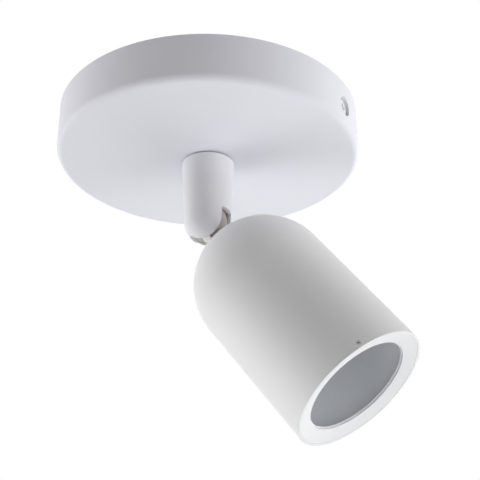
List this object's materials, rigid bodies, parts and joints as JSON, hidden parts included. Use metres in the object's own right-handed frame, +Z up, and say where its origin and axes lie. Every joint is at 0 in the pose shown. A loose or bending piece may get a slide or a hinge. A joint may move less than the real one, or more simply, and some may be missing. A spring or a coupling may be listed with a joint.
{
  "type": "ceiling spotlight",
  "caption": "White ceiling spotlight: a shallow round canopy, a short tapered stem with a swivel and a ball joint, and a bullet-shaped head with a dished front ring.",
  "frame": {"origin": "centre of the ceiling face, where the canopy's rim and the bracket lie on the ceiling", "axes": "+Z up into the ceiling, +X along the ceiling bracket through the canopy's two side screws"},
  "size_m": [0.1447, 0.125, 0.1411],
  "materials": {
    "white_paint": "satin",
    "head_paint": "satin white paint",
    "white_screw": "satin",
    "zinc_steel": "zinc plated",
    "ball_metal": "off-white, satin",
    "nylon": "matte",
    "block_plastic": "matte",
    "brass": "bright",
    "ceramic": "matte",
    "lead_sleeve": "matte"
  },
  "bodies": {
    "mount": {"ceiling_bracket": "zinc_steel", "canopy": "white_paint", "side_screws": "white_screw", "earth_screw": "zinc_steel", "earth_washer": "zinc_steel", "earth_tag": "brass", "terminal_block": "block_plastic", "terminal_inserts": "brass", "clamp_screws": "zinc_steel", "block_screw": "zinc_steel", "friction_washer": "nylon", "canopy_leads": "lead_sleeve"},
    "stem": {"stem_socket": "white_paint", "stem_plug": "zinc_steel", "hollow_nipple": "zinc_steel", "slip_washer": "nylon", "stop_washer": "zinc_steel", "spring_washer": "zinc_steel", "swivel_nut": "zinc_steel", "friction_cup": "nylon", "pressure_spring": "zinc_steel", "stem_leads": "lead_sleeve"},
    "head": {"ball_neck": "ball_metal", "head_shell": "head_paint", "lampholder_strap": "zinc_steel", "neck_toothed_washer": "zinc_steel", "neck_nut": "zinc_steel", "lampholder": "ceramic", "holder_contacts": "brass", "holder_screws": "zinc_steel", "head_leads": "lead_sleeve", "ring_grub_screw": "zinc_steel", "front_ring": "head_paint"}
  },
  "joints": [
    {"name": "stem_swivel", "type": "hinge", "parent": "mount", "child": "stem", "pos_m": [0, 0, -0.0195], "axis": [0, 0, 1], "range_deg": [-175, 175]},
    {"name": "head_tilt", "type": "hinge", "parent": "stem", "child": "head", "pos_m": [0, 0, -0.047], "axis": [0.0593, -0.9982, 0], "range_deg": [-38.3, 48]}
  ]
}
